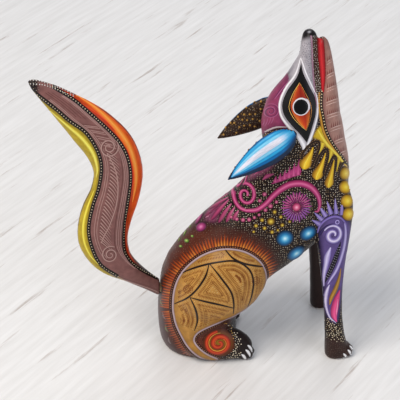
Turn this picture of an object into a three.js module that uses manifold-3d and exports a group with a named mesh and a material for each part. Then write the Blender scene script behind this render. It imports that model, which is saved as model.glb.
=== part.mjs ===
// A carved and painted wooden coyote that sits and howls, about 150 mm tall.
// The trunk, head, legs and feet are one carved block. The tail and the two ears are carved
// apart, and each is held by a peg that pushes into a socket in the block.
// Millimetres, +Z up, +X the way the animal faces, +Y its left side.
import * as THREE from "three";
import { mergeVertices } from "three/addons/utils/BufferGeometryUtils.js";
import Module from "manifold-3d";

const wasm = await Module();
wasm.setup();

// Driving dimensions. The side outline is drawn at drawnHeight and drawnWidth, and is scaled
// from there to the height and the trunk width that are wanted.
const height = 151; // floor to the tip of the nose
const trunkWidth = 36; // across the trunk at the hips, without the thighs
const drawnHeight = 151;
const drawnWidth = 36;
const hipWidth = 46; // across both thighs
const thighBulge = 12; // how far a thigh's middle is from its outside
const legSpread = 36; // between the middles of the front paws
const footSpread = 28; // between the middles of the hind feet
const footLead = 1.8; // how far the right hind foot stands ahead of the left one
const tailThick = 12; // side to side, at the thickest
const earLong = 33;
const earBroad = 13.2;
const earThick = 5.4;
const earDish = 1.1; // depth of the hollow in the outer face
const tailPeg = { broad: 4.2, thick: 3.2, inBlock: 12, inPiece: 9 };
const earPeg = { broad: 3.0, thick: 2.2, inBlock: 7, inPiece: 3.4 };
const pegSlack = 0.1; // round a peg in its socket in the block, and at the socket's end
const glueLine = 0.05; // round a peg where it is glued into the tail or the ear
const seatGap = 0.3; // between a seated tail or ear and the block
const mouthGap = 0.9; // between the jaws
const mouthDeep = 7; // from the tips of the jaws to the bottom of the open mouth

const tall = height / drawnHeight;
const stout = trunkWidth / drawnWidth;
const acrossY = new THREE.Vector3(0, 1, 0);

const paint = (color, roughness = 0.35) =>
  new THREE.MeshStandardMaterial({ color, roughness, metalness: 0 });
const darkPaint = paint(0x2a1b18);
const mauvePaint = paint(0x8c5f5c);
const bluePaint = paint(0x2f8fc4);
const bareWood = paint(0xc9a877, 0.8);

// A station of a carved form: its place in the side view, its half depth there and its half
// width across the animal. y is the distance from the middle of the animal.
const station = (x, z, deep, wide, y = 0) => ({
  at: new THREE.Vector3(x * tall, y, z * tall),
  deep: deep * tall,
  wide: wide * stout,
});

// A closed form through stations, oval across its spine. broad is the way its width runs.
function carve(stations, { broad = acrossY, around = 20, perStation = 4, grow = 0 } = {}) {
  const spine = new THREE.CatmullRomCurve3(stations.map((s) => s.at));
  const sizes = new THREE.CatmullRomCurve3(
    stations.map((s) => new THREE.Vector3(s.deep, s.wide, 0)),
  );
  const rings = (stations.length - 1) * perStation;
  const points = [];
  for (let i = 0; i <= rings; i++) {
    const centre = spine.getPoint(i / rings);
    const along = spine.getTangent(i / rings);
    const size = sizes.getPoint(i / rings);
    const across = broad.clone().addScaledVector(along, -broad.dot(along)).normalize();
    const through = new THREE.Vector3().crossVectors(along, across);
    for (let k = 0; k < around; k++) {
      const turn = (2 * Math.PI * k) / around;
      const ring = centre.clone();
      ring.addScaledVector(across, (size.y + grow) * Math.cos(turn));
      ring.addScaledVector(through, (size.x + grow) * Math.sin(turn));
      points.push(ring);
    }
  }
  const first = points.push(spine.getPoint(0).addScaledVector(spine.getTangent(0), -grow)) - 1;
  const last = points.push(spine.getPoint(1).addScaledVector(spine.getTangent(1), grow)) - 1;
  const faces = [];
  for (let k = 0; k < around; k++) {
    const next = (k + 1) % around;
    faces.push(first, next, k);
    faces.push(last, rings * around + k, rings * around + next);
    for (let i = 0; i < rings; i++) {
      const low = i * around;
      const high = low + around;
      faces.push(low + k, low + next, high + next, low + k, high + next, high + k);
    }
  }
  return new THREE.BufferGeometry().setFromPoints(points).setIndex(faces);
}

function solid(geometry) {
  const bare = geometry.clone();
  bare.deleteAttribute("normal");
  bare.deleteAttribute("uv");
  const merged = mergeVertices(bare, 1e-4);
  return new wasm.Manifold(
    new wasm.Mesh({
      numProp: 3,
      vertProperties: new Float32Array(merged.attributes.position.array),
      triVerts: new Uint32Array(merged.index.array),
    }),
  );
}

const joined = (solids) => solids.reduce((whole, next) => whole.add(next));

function meshOf(name, made, material) {
  const { vertProperties, triVerts } = made.getMesh();
  const geometry = new THREE.BufferGeometry()
    .setAttribute("position", new THREE.BufferAttribute(vertProperties, 3))
    .setIndex(new THREE.BufferAttribute(triVerts, 1));
  geometry.computeVertexNormals();
  const mesh = new THREE.Mesh(geometry, material);
  mesh.name = name;
  return mesh;
}

// An egg: a sphere stretched to three radii, turned in the side view and moved to its place.
function egg(centre, radii, turn = 0, segments = 20, grow = 0) {
  const shape = new THREE.SphereGeometry(1, segments, Math.round(segments * 0.7));
  shape.scale(radii[0] + grow, radii[1] + grow, radii[2] + grow);
  shape.rotateY(-turn);
  shape.translate(...centre);
  return solid(shape);
}

// The trunk, neck, head and upper jaw, from the seat to the nose.
const trunkStations = [
  station(-1, -4, 13.4, 12),
  station(-1, 4, 16.6, 15.2),
  station(-1.6, 12, 17, 17),
  station(-0.6, 22, 18, 18),
  station(4, 34.7, 20.8, 18),
  station(16, 50, 20.6, 17.6),
  station(28.4, 60.3, 21, 17.4),
  station(39.4, 73, 21.6, 16.6),
  station(43.2, 87, 19, 15),
  station(42.8, 99, 16.9, 13.4),
  station(41.2, 109, 16.6, 13),
  station(41, 118, 14.3, 11.4),
  station(41.6, 126, 9.6, 8.4),
  station(42, 132.5, 5.9, 6.2),
  station(43.1, 139, 3.7, 4.9),
  station(43.2, 145, 3.3, 4.5),
  station(43.4, 149.3, 2.7, 3.5),
  station(43.6, 151, 0.7, 1),
];
const trunk = (grow = 0) => solid(carve(trunkStations, { around: 32, perStation: 3, grow }));

// The lower jaw and throat: its tip stands a little lower than the nose.
const lowerJaw = () =>
  solid(
    carve(
      [
        station(52, 96, 7, 9),
        station(51, 110, 6.5, 9),
        station(50.6, 122, 5.2, 7.6),
        station(50, 132, 4, 5.6),
        station(49.3, 140, 3.1, 4.2),
        station(48.9, 145, 2.2, 3.2),
        station(48.6, 147.6, 0.6, 1),
      ],
      { around: 16, perStation: 2 },
    ),
  );

// The slit between the jaws, open at the front and at both sides.
function mouthSlit() {
  const slit = new THREE.BoxGeometry(mouthGap, trunkWidth, 2 * mouthDeep);
  slit.rotateY(THREE.MathUtils.degToRad(-3));
  slit.translate(46.5 * tall, 0, height);
  return solid(slit);
}

// side is -1 for the animal's right and 1 for its left.
const thigh = (side) =>
  egg(
    [8.2 * tall, side * (hipWidth / 2 - thighBulge), 39 * tall],
    [22.5 * tall, thighBulge, 17 * tall],
    THREE.MathUtils.degToRad(48),
    22,
  );

function hindFoot(side) {
  const y = (side * footSpread) / 2;
  const back = side > 0 ? footLead : 0;
  const sole = carve(
    [
      station(-9 - back, 6, 3, 3, y * 0.8),
      station(-4 - back, 7.5, 7.5, 6.2, y * 0.86),
      station(3.5 - back, 8.4, 9.6, 6.2, y * 0.95),
      station(11 - back, 7.2, 8.2, 5.4, y),
      station(16 - back, 4.9, 6.2, 4.8, y),
      station(19 - back, 3, 3.8, 4.2, y),
    ],
    { around: 16, perStation: 2 },
  );
  return solid(sole).add(toes(18.2 - back, y, 2.8, 1.75));
}

// Three round toes side by side, from a place behind their tips.
function toes(x, y, z, pitch) {
  return joined(
    [-1, 0, 1].map((n) =>
      egg(
        [(x - Math.abs(n)) * tall, y + n * pitch * 1.45, z * tall],
        [4.2 * tall, pitch, 3.2 * tall],
        THREE.MathUtils.degToRad(-22),
        10,
      ),
    ),
  );
}

function foreLeg(side) {
  const y = (side * legSpread) / 2;
  const leg = carve(
    [
      station(51, 84, 8, 5, y * 0.4),
      station(53.2, 73, 9.6, 7.4, y * 0.54),
      station(54.2, 62, 7.6, 6.6, y * 0.68),
      station(53.9, 50, 5.9, 5.2, y * 0.83),
      station(54.2, 37, 4.6, 4.2, y * 0.91),
      station(54.9, 23, 4, 3.8, y * 0.97),
      station(56, 11, 4.4, 4.1, y),
      station(57, 3, 5.2, 4.5, y),
      station(57, -3, 4.4, 4, y),
    ],
    { around: 16, perStation: 2 },
  );
  return solid(leg).add(toes(61.2, y, 2.8, 1.6));
}

const floorBlock = () => {
  const block = new THREE.BoxGeometry(4 * height, 4 * height, height);
  block.translate(0, 0, -height / 2);
  return solid(block);
};

// A seat is a peg's frame: origin where its axis meets the block, out the way the piece pulls
// off, and broad the way the oval of the peg is wide.
const seat = (x, y, z, out, broad) => ({
  at: new THREE.Vector3(x * tall, y, z * tall),
  out: new THREE.Vector3(...out).normalize(),
  broad: new THREE.Vector3(...broad),
});
const tailSeat = seat(-17.4, 0, 29.6, [-0.79, 0, 0.61], [0, 1, 0]);
const earSeat = (side) =>
  seat(34.2, side * 11.4 * stout, 110, [-0.62, side * 0.78, 0.06], [0.55, side * 0.4, 0.75]);

// An oval peg along a seat's axis, from low to high along it.
function peg(size, place, low, high, slack = 0) {
  const half = { deep: size.thick / 2 + slack, wide: size.broad / 2 + slack };
  const end = (t) => ({ at: place.at.clone().addScaledVector(place.out, t), ...half });
  return solid(
    carve([end(low), end((low + high) / 2), end(high)], {
      broad: place.broad,
      around: 16,
      perStation: 1,
    }),
  );
}
const pegIn = (size, place) => peg(size, place, -size.inBlock, size.inPiece);
const socketInBlock = (size, place) =>
  peg(size, place, -size.inBlock - pegSlack, size.inPiece, pegSlack);
const socketInPiece = (size, place) =>
  peg(size, place, -size.inBlock, size.inPiece + glueLine, glueLine);

function block() {
  const raw = joined([
    trunk(),
    lowerJaw(),
    ...[-1, 1].flatMap((side) => [thigh(side), hindFoot(side), foreLeg(side)]),
  ]);
  return raw
    .subtract(floorBlock())
    .subtract(mouthSlit())
    .subtract(socketInBlock(tailPeg, tailSeat))
    .subtract(socketInBlock(earPeg, earSeat(-1)))
    .subtract(socketInBlock(earPeg, earSeat(1)));
}

// The tail: a flat brush that leaves the rump low, swings up and back, and ends in a point.
function tail() {
  const brush = (x, z, deep, thick) => ({ ...station(x, z, deep, 0), wide: thick * tailThick });
  const form = carve(
    [
      brush(-13.4, 26.6, 3.3, 0.27),
      brush(-21.5, 32.4, 3.5, 0.29),
      brush(-29.4, 38.8, 4.9, 0.36),
      brush(-37.8, 47.4, 8.6, 0.44),
      brush(-41.3, 58, 10.7, 0.49),
      brush(-39.6, 69, 11, 0.5),
      brush(-35.6, 80, 10.4, 0.5),
      brush(-34, 91, 10.2, 0.49),
      brush(-37, 102, 10.2, 0.47),
      brush(-44, 112, 9.4, 0.42),
      brush(-52.2, 121, 7.2, 0.35),
      brush(-60, 128.6, 4.7, 0.25),
      brush(-66, 133.8, 2.3, 0.15),
      brush(-68.3, 135.6, 0.5, 0.05),
    ],
    { around: 20, perStation: 4 },
  );
  return solid(form).subtract(trunk(seatGap)).subtract(socketInPiece(tailPeg, tailSeat));
}

// An ear: a long leaf that lies back from the side of the head, hollowed on its outer face.
function ear(side) {
  const root = new THREE.Vector3(36.2 * tall, side * (11.5 * stout + earThick / 4), 111.4 * tall);
  const along = new THREE.Vector3(-0.81, side * 0.09, -0.54).normalize();
  const outward = new THREE.Vector3(0.06, side, 0.1);
  outward.addScaledVector(along, -outward.dot(along)).normalize();
  const broad = new THREE.Vector3().crossVectors(outward, along);
  // Shares of the ear's length, breadth and thickness, from root to tip.
  const leaf = [
    [-0.02, 0.12, 0.2],
    [0.06, 0.62, 0.62],
    [0.2, 0.94, 0.94],
    [0.38, 1, 1],
    [0.58, 0.84, 0.86],
    [0.78, 0.52, 0.62],
    [0.93, 0.2, 0.36],
    [1, 0.03, 0.06],
  ];
  const stations = leaf.map(([share, breadth, thickness]) => ({
    at: root.clone().addScaledVector(along, share * earLong * tall),
    deep: (thickness * earThick) / 2,
    wide: (breadth * earBroad) / 2,
  }));
  const form = solid(carve(stations, { broad, around: 20, perStation: 3 }));
  const dish = new THREE.SphereGeometry(1, 20, 12);
  dish.scale(earLong * 0.4, earBroad * 0.34, earDish * 2);
  const place = root.clone().addScaledVector(along, 0.46 * earLong * tall);
  place.addScaledVector(outward, earThick / 2 + earDish);
  dish.applyMatrix4(new THREE.Matrix4().makeBasis(along, broad, outward));
  dish.translate(...place.toArray());
  const cut = solid(dish);
  return form
    .subtract(cut)
    .subtract(trunk(seatGap))
    .subtract(socketInPiece(earPeg, earSeat(side)));
}

const figure = new THREE.Group();
figure.add(
  meshOf("carved_body", block(), darkPaint),
  meshOf("tail", tail(), mauvePaint),
  meshOf("tail_peg", pegIn(tailPeg, tailSeat), bareWood),
  meshOf("right_ear", ear(-1), bluePaint),
  meshOf("right_ear_peg", pegIn(earPeg, earSeat(-1)), bareWood),
  meshOf("left_ear", ear(1), bluePaint),
  meshOf("left_ear_peg", pegIn(earPeg, earSeat(1)), bareWood),
);

// The origin is the middle of the underside of the whole figure's box.
const box = new THREE.Box3().setFromObject(figure);
const middle = box.getCenter(new THREE.Vector3());
figure.position.set(-middle.x, -middle.y, -box.min.z);

export default figure;
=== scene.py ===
# A howling coyote carved in copal wood and painted in acrylics, about 151 mm tall.
# The carved pieces come from the frame. Here they get their smooth finish and their painting.
import math
import random

import bmesh
import bpy
import numpy as np
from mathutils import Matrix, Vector
from mathutils.bvhtree import BVHTree


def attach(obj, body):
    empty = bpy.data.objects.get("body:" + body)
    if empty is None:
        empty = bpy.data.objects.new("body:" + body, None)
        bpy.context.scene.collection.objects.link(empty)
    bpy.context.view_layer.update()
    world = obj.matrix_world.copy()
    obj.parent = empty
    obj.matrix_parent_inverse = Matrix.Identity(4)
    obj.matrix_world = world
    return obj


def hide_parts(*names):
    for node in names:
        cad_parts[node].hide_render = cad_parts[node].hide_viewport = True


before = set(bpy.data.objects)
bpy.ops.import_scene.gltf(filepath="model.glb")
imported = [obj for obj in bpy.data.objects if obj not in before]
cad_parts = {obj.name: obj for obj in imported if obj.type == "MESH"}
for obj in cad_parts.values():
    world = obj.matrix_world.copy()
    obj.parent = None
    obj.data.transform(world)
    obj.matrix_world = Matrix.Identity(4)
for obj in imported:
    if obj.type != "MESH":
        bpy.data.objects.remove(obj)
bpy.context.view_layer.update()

mm = 0.001
right, left = -1, 1  # the sign of y on each flank
random.seed(7)

# The painting is laid out on a slanted side view of a flank: x runs towards the muzzle and h up
# a plane that leans back by this angle, both in mm. Both flanks are painted alike.
lean = math.radians(34)


def linear(hexColour):
    parts = [int(hexColour[i : i + 2], 16) / 255 for i in (1, 3, 5)]
    return tuple(c / 12.92 if c <= 0.04045 else ((c + 0.055) / 1.055) ** 2.4 for c in parts)


def mix(a, b, share):
    return tuple(p + (q - p) * share for p, q in zip(a, b))


def alongList(colours, share):
    # the value at a share of the way through a list of colours, widths or places
    place = min(max(share, 0), 1) * (len(colours) - 1)
    start = min(int(place), len(colours) - 2) if len(colours) > 1 else 0
    return mix(colours[start], colours[min(start + 1, len(colours) - 1)], place - start)


def throughPoints(points, step=0.8):
    # evenly close samples of a smooth curve through points of any number of values
    points = [np.array(p, float) for p in points]
    ends = [2 * points[0] - points[1]] + points + [2 * points[-1] - points[-2]]
    samples = []
    for a, b, c, d in zip(ends, ends[1:], ends[2:], ends[3:]):
        count = max(1, round(float(np.hypot(*(c - b)[:2])) / step))
        for t in (i / count for i in range(count)):
            samples.append(
                0.5 * (2 * b + (c - a) * t + (2 * a - 5 * b + 4 * c - d) * t**2
                       + (3 * b - a - 3 * c + d) * t**3)
            )
    samples.append(points[-1])
    return samples


def smoothLine(points, step):
    # the same for plain x, h points
    return [s[:2] for s in throughPoints([(*p[:2], 0) for p in points], step)]


def stepBetween(a, b):
    # the distance in mm between two x, h points
    return math.hypot(b[0] - a[0], b[1] - a[1])


def spiralPoints(centre, radii, turns, start, widths, squash=1.0):
    # a coil from its first radius to its second; start in degrees, turns negative for clockwise
    pointsPerTurn = 14
    count = round(abs(turns) * pointsPerTurn)
    points = []
    for i in range(count + 1):
        share = i / count
        angle = math.radians(start + 360 * turns * share)
        radius = radii[0] + (radii[1] - radii[0]) * share
        wide = alongList([(w,) for w in widths], share)[0]
        points.append(
            (centre[0] + radius * math.cos(angle), centre[1] + radius * squash * math.sin(angle), wide)
        )
    return points


# Forms: the carved pieces as they leave the sandpaper, each from its node in the frame.
# voxel is the remesh size in mm, and rounds is how many times the surface is smoothed.
formSizes = {
    "carved_body": {
        "name": "painted_body", "body": "figure", "slot": "painted_body", "voxel": 0.72, "rounds": 14,
    },
    "tail": {"name": "painted_tail", "body": "tail", "slot": "painted_tail", "voxel": 0.6, "rounds": 12},
    "right_ear": {
        "name": "painted_right_ear", "body": "right_ear", "slot": "painted_ear", "voxel": 0.4, "rounds": 3,
    },
    "left_ear": {
        "name": "painted_left_ear", "body": "left_ear", "slot": "painted_ear", "voxel": 0.4, "rounds": 3,
    },
}
weld = 1e-6  # metres between corners that count as one
forms = {}


def carvedForm(node):
    sizes = formSizes[node]
    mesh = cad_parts[node].data.copy()
    mesh.materials.clear()
    form = bpy.data.objects.new(sizes["name"], mesh)
    bpy.context.scene.collection.objects.link(form)
    bm = bmesh.new()
    bm.from_mesh(mesh)
    bmesh.ops.remove_doubles(bm, verts=bm.verts, dist=weld)
    bm.to_mesh(mesh)
    bm.free()
    remesh = form.modifiers.new("voxels", "REMESH")
    remesh.mode = "VOXEL"
    remesh.voxel_size = sizes["voxel"] * mm
    remesh.use_smooth_shade = True
    smooth = form.modifiers.new("sanding", "SMOOTH")
    smooth.factor = 0.5
    smooth.iterations = sizes["rounds"]
    done = bpy.data.meshes.new_from_object(form.evaluated_get(bpy.context.evaluated_depsgraph_get()))
    form.modifiers.clear()
    form.data = done
    done.name = sizes["name"]
    bm = bmesh.new()
    bm.from_mesh(done)
    # the flat underside stays flat on the shelf
    for v in bm.verts:
        v.co.z = max(v.co.z, 0)
    tree = BVHTree.FromBMesh(bm)
    bm.to_mesh(done)
    bm.free()
    for polygon in done.polygons:
        polygon.use_smooth = True
    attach(form, sizes["body"])
    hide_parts(node)
    forms[node] = {"object": form, "tree": tree, "body": sizes["body"], "slot": sizes["slot"]}
    print("form", sizes["name"], len(done.polygons), "faces")


for node in formSizes:
    carvedForm(node)


def layUp(side):
    # the slanted view's upward axis and its way into the wood, for a flank
    up = Vector((0, -side * math.sin(lean), math.cos(lean)))
    into = Vector((0, -side * math.cos(lean), -math.sin(lean)))
    return up, into


clearOfWood = 0.2  # metres in front of the flank from where a mark is thrown on to it


def onForm(node, x, h, side, acrossRidge=1.5):
    # where a point of the slanted side view falls on a form: its place and the way out of the wood;
    # on the body and tail it may lie at most acrossRidge mm past the middle
    up, into = layUp(side)
    start = Vector((x * mm, 0, 0)) + up * h * mm - into * clearOfWood
    place, normal, _, _ = forms[node]["tree"].ray_cast(start, into)
    if place is None:
        return None
    if "ear" not in node and place.y * side < -acrossRidge * mm:
        return None
    return place, normal


# Paint coats. A coat is one piece made of many strokes that ride on a form. Each stroke is a thin
# skin that stands height mm proud of the wood, as thick acrylic does, with its edges sunk.
coats = {}
# a stroke's edge: mm over which it rises, its height there as a share, and mm it is sunk
strokeEdge = {"soft": 0.45, "low": 0.25, "sunk": 0.02}
# a face with an edge longer than this many times its stroke's spacing, plus some mm, spans a gap
tear = {"times": 4, "plus": 0.8}
brushReach = 10  # mm of stroke for one unit of its brush map


def coatOn(name, node):
    bm = bmesh.new()
    coats[name] = {
        "bm": bm,
        "node": node,
        "paint": bm.verts.layers.float_color.new("paint"),
        "brush": bm.loops.layers.uv.new("brush"),
    }


def layStroke(name, path, colours, across, height, side, node=None):
    # path holds the stroke's steps, its length and widest place in mm, and at(u, v), which gives
    # x, h and the distance to the nearer edge
    coat = coats[name]
    bm = coat["bm"]
    node = node or coat["node"]
    colours = [[linear(c) for c in row] for row in colours]
    steps, length = path["steps"], path["length"]
    grid = bmesh.ops.create_grid(bm, x_segments=steps, y_segments=across, size=1)["verts"]
    missing = set()
    outward = {}
    shares = {}
    for v in grid:
        u, w = (v.co.x + 1) / 2, (v.co.y + 1) / 2
        shares[v] = (u, w)
        x, h, toEdge = path["at"](u, w)
        hit = onForm(node, x, h, side)
        if hit is None:
            missing.add(v)
            continue
        rise = math.sin(min(toEdge / strokeEdge["soft"], 1) * math.pi / 2) if across > 1 else 1
        share = strokeEdge["low"] + (1 - strokeEdge["low"]) * rise
        v.co = hit[0] + hit[1] * (height * share - strokeEdge["sunk"] * (1 - rise)) * mm
        outward[v] = hit[1]
        rows = [alongList(row, w) for row in colours]
        v[coat["paint"]] = (*alongList(rows, u), 1)
    faces = {f for v in grid for f in v.link_faces}
    spacing = max(length / steps, path["widest"] / across)
    longest = (tear["times"] * spacing + tear["plus"]) * mm
    torn = [
        f for f in faces
        if any(v in missing for v in f.verts) or max(e.calc_length() for e in f.edges) > longest
    ]
    facing = 0
    for f in faces:
        if f not in torn:
            f.normal_update()
            facing += f.normal.dot(outward[f.verts[0]])
            for loop in f.loops:
                u, w = shares[loop.vert]
                loop[coat["brush"]].uv = (u * length / brushReach, w)
    if facing < 0:
        bmesh.ops.reverse_faces(bm, faces=list(faces))
    bmesh.ops.delete(bm, geom=torn, context="FACES")
    bmesh.ops.delete(bm, geom=[v for v in missing if v.is_valid], context="VERTS")


def lineFrom(points, step):
    samples = throughPoints(points, step)
    places = [Vector(s[:2]) for s in samples]
    length = sum((b - a).length for a, b in zip(places, places[1:]))
    last = len(samples) - 1

    def at(u, v):
        i = round(u * last)
        ahead = (places[min(i + 1, last)] - places[max(i - 1, 0)]).normalized()
        wide = max(samples[i][2], 0.02)
        off = (v - 0.5) * wide
        return places[i].x - ahead.y * off, places[i].y + ahead.x * off, min(v, 1 - v) * wide

    return {"steps": max(last, 1), "length": length, "widest": max(s[2] for s in samples), "at": at}


def stroke(name, points, colours, across=4, height=0.12, step=0.8, sides=(right, left), node=None):
    # points are x, h and the stroke's width there; colours are rows along it of colours across it
    for side in sides:
        layStroke(name, lineFrom(points, step), colours, across, height, side, node)


def band(name, low, high, colours, across=6, height=0.08, count=30, sides=(right, left), node=None):
    # a fill between two edges given as x, h points
    lower, upper = (smoothLine(edge, 0.4) for edge in (low, high))

    def pick(line, u):
        return line[round(u * (len(line) - 1))]

    length = sum(stepBetween(a, b) for a, b in zip(lower, lower[1:]))
    shares = [i / count for i in range(count + 1)]
    widest = max(stepBetween(pick(lower, share), pick(upper, share)) for share in shares)

    def at(u, v):
        a, b = pick(lower, u), pick(upper, u)
        place = a + (b - a) * v
        return place[0], place[1], min(v, 1 - v) * stepBetween(a, b)

    path = {"steps": count, "length": length, "widest": widest, "at": at}
    for side in sides:
        layStroke(name, path, colours, across, height, side, node)


def disc(
    name, centre, radii, colours, turn=0, height=0.2, around=18, rings=4, sides=(right, left), node=None,
):
    # an oval blob, its colours from the middle to the rim
    turn = math.radians(turn)

    def at(u, v):
        a, r = 2 * math.pi * u, v
        p, q = radii[0] * r * math.cos(a), radii[1] * r * math.sin(a)
        return (
            centre[0] + p * math.cos(turn) - q * math.sin(turn),
            centre[1] + p * math.sin(turn) + q * math.cos(turn),
            (1 - v) * min(radii),
        )

    path = {"steps": around, "length": 2 * math.pi * max(radii), "widest": max(radii) * 1.5, "at": at}
    for side in sides:
        layStroke(name, path, [colours], rings, height, side, node)


def beads(name, places, radius, colours, sides=(right, left), node=None, flat=0.55):
    # round dots of paint, their colours from rim to top
    coat = coats[name]
    rim, top = linear(colours[0]), linear(colours[-1])
    for side in sides:
        for x, h in places:
            hit = onForm(node or coat["node"], x, h, side)
            if hit is None:
                continue
            facing = hit[1].to_track_quat("Z", "Y")
            for v in bmesh.ops.create_icosphere(coat["bm"], subdivisions=1, radius=radius * mm)["verts"]:
                share = min(max(v.co.z / (radius * mm), 0), 1)
                v[coat["paint"]] = (*mix(rim, top, share), 1)
                v.co = hit[0] + facing @ Vector((v.co.x, v.co.y, v.co.z * flat + 0.05 * mm))


def beadLine(name, points, spacing, radius, colours, **others):
    # beads set along a line, spacing mm apart
    samples = smoothLine(points, 0.2)
    places, gone = [tuple(samples[0])], 0
    for a, b in zip(samples, samples[1:]):
        gone += stepBetween(a, b)
        if gone >= spacing:
            places.append(tuple(b))
            gone = 0
    beads(name, places, radius, colours, **others)


def scroll(name, centre, radii, turns, start, widths, colours, squash=1.0, **others):
    stroke(name, spiralPoints(centre, radii, turns, start, widths, squash), colours, step=0.5, **others)


def finishCoat(name, material):
    coat = coats[name]
    bm = coat["bm"]
    bmesh.ops.remove_doubles(bm, verts=bm.verts, dist=2 * weld)
    mesh = bpy.data.meshes.new(name)
    bm.to_mesh(mesh)
    bm.free()
    for polygon in mesh.polygons:
        polygon.use_smooth = True
    piece = bpy.data.objects.new(name, mesh)
    bpy.context.scene.collection.objects.link(piece)
    mesh.materials.append(material)
    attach(piece, forms[coat["node"]]["body"])
    print("coat", name, len(mesh.polygons), "faces")


def scatter(name, outline, spacing, radius, colours, chance=0.8, **others):
    # dots on a loose grid inside an outline
    low = [min(p[i] for p in outline) for i in (0, 1)]
    high = [max(p[i] for p in outline) for i in (0, 1)]
    loose = 0.25  # how far a dot may stray, as a share of the spacing
    spots = []
    for row in range(int((high[1] - low[1]) / spacing)):
        for column in range(int((high[0] - low[0]) / spacing)):
            x = low[0] + (column + 0.5 * (row % 2) + random.uniform(-loose, loose)) * spacing
            h = low[1] + (row + random.uniform(-loose, loose)) * spacing
            spots.append((x, h))
    spots = np.array(spots)
    inside = edgeDistance(spots[:, 0], spots[:, 1], outline, True) > radius
    chosen = [tuple(s) for s, i in zip(spots, inside) if i and random.random() < chance]
    beads(name, chosen, radius, colours, **others)


# Materials
def addNode(tree, kind, settings=None, inputs=None):
    made = tree.nodes.new(kind)
    for name, value in (settings or {}).items():
        setattr(made, name, value)
    for socket, value in (inputs or {}).items():
        if isinstance(value, bpy.types.NodeSocket):
            tree.links.new(value, made.inputs[socket])
        else:
            made.inputs[socket].default_value = value
    return made


def newMaterial(name, shader):
    made = bpy.data.materials.new(name)
    made.use_nodes = True
    made.node_tree.nodes.clear()
    surface = addNode(made.node_tree, "ShaderNodeBsdfPrincipled", None, shader)
    addNode(made.node_tree, "ShaderNodeOutputMaterial", None, {"Surface": surface.outputs[0]})
    return made, made.node_tree, surface


def perMm(size):
    # a texture scale whose pattern repeats at this many millimetres
    return 1 / (size * mm)


# Acrylic paint on sanded copal: satin, a little uneven from the brush, and stippled with fine
# raised dots of cream and gold wherever the ground's alpha says so. Pitch and size are in mm and
# in shares of the pitch; real stipple is finer still, and is drawn as coarse as it needs to show.
stipple = {"pitch": 0.94, "size": 0.16, "cream": "#f0e6d0", "gold": "#8f6c3c"}


def acrylicGround(name, stippleSizes):
    made, tree, surface = newMaterial(
        name, {"IOR": 1.45, "Specular IOR Level": 0.2, "Coat Weight": 0.03, "Coat Roughness": 0.3}
    )
    ground = addNode(tree, "ShaderNodeAttribute", {"attribute_name": "ground"})
    place = addNode(tree, "ShaderNodeTexCoord").outputs["Object"]
    brushed = addNode(
        tree, "ShaderNodeTexNoise", None,
        {"Vector": place, "Scale": perMm(3), "Detail": 5.0, "Roughness": 0.6},
    )
    uneven = addNode(
        tree, "ShaderNodeMapRange", None,
        {"Value": brushed.outputs["Fac"], "From Min": 0.3, "From Max": 0.7, "To Min": 0.78, "To Max": 1.22},
    )
    washed = addNode(
        tree, "ShaderNodeVectorMath", {"operation": "SCALE"},
        {0: ground.outputs["Color"], "Scale": uneven.outputs["Result"]},
    )
    # the dots are set out in the slanted side view, so they stay round as seen on a flank
    axes = addNode(tree, "ShaderNodeSeparateXYZ", None, {"Vector": place})
    fromMiddle = addNode(tree, "ShaderNodeMath", {"operation": "ABSOLUTE"}, {0: axes.outputs["Y"]})
    lowered = addNode(
        tree, "ShaderNodeMath", {"operation": "MULTIPLY"}, {0: fromMiddle.outputs[0], 1: -math.sin(lean)}
    )
    leant = addNode(
        tree, "ShaderNodeMath", {"operation": "MULTIPLY_ADD"},
        {0: axes.outputs["Z"], 1: math.cos(lean), 2: lowered.outputs[0]},
    )
    flat = addNode(tree, "ShaderNodeCombineXYZ", None, {"X": axes.outputs["X"], "Y": leant.outputs[0]})
    cells = addNode(
        tree, "ShaderNodeTexVoronoi", {"voronoi_dimensions": "2D"},
        {"Vector": flat.outputs[0], "Scale": perMm(stippleSizes["pitch"]), "Randomness": 0.6},
    )
    dot = addNode(
        tree, "ShaderNodeMapRange", None,
        {"Value": cells.outputs["Distance"], "From Min": stippleSizes["size"] + 0.03,
         "From Max": stippleSizes["size"] - 0.03},
    )
    chance = addNode(tree, "ShaderNodeSeparateColor", None, {"Color": cells.outputs["Color"]})
    shown = addNode(
        tree, "ShaderNodeMath", {"operation": "MULTIPLY"},
        {0: dot.outputs["Result"], 1: ground.outputs["Alpha"]},
    )
    dotColour = addNode(
        tree, "ShaderNodeMix", {"data_type": "RGBA"},
        {"Factor": chance.outputs["Red"], 6: (*linear(stippleSizes["gold"]), 1),
         7: (*linear(stippleSizes["cream"]), 1)},
    )
    painted = addNode(
        tree, "ShaderNodeMix", {"data_type": "RGBA"},
        {"Factor": shown.outputs[0], 6: washed.outputs[0], 7: dotColour.outputs[2]},
    )
    sheen = addNode(
        tree, "ShaderNodeMapRange", None,
        {"Value": brushed.outputs["Fac"], "From Min": 0.3, "From Max": 0.7, "To Min": 0.3, "To Max": 0.46},
    )
    relief = addNode(
        tree, "ShaderNodeMath", {"operation": "MULTIPLY_ADD"},
        {0: brushed.outputs["Fac"], 1: 0.25, 2: shown.outputs[0]},
    )
    raised = addNode(
        tree, "ShaderNodeBump", None, {"Height": relief.outputs[0], "Strength": 0.35, "Distance": 0.08 * mm}
    )
    tree.links.new(painted.outputs[2], surface.inputs["Base Color"])
    tree.links.new(sheen.outputs["Result"], surface.inputs["Roughness"])
    tree.links.new(raised.outputs["Normal"], surface.inputs["Normal"])
    return made


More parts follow.
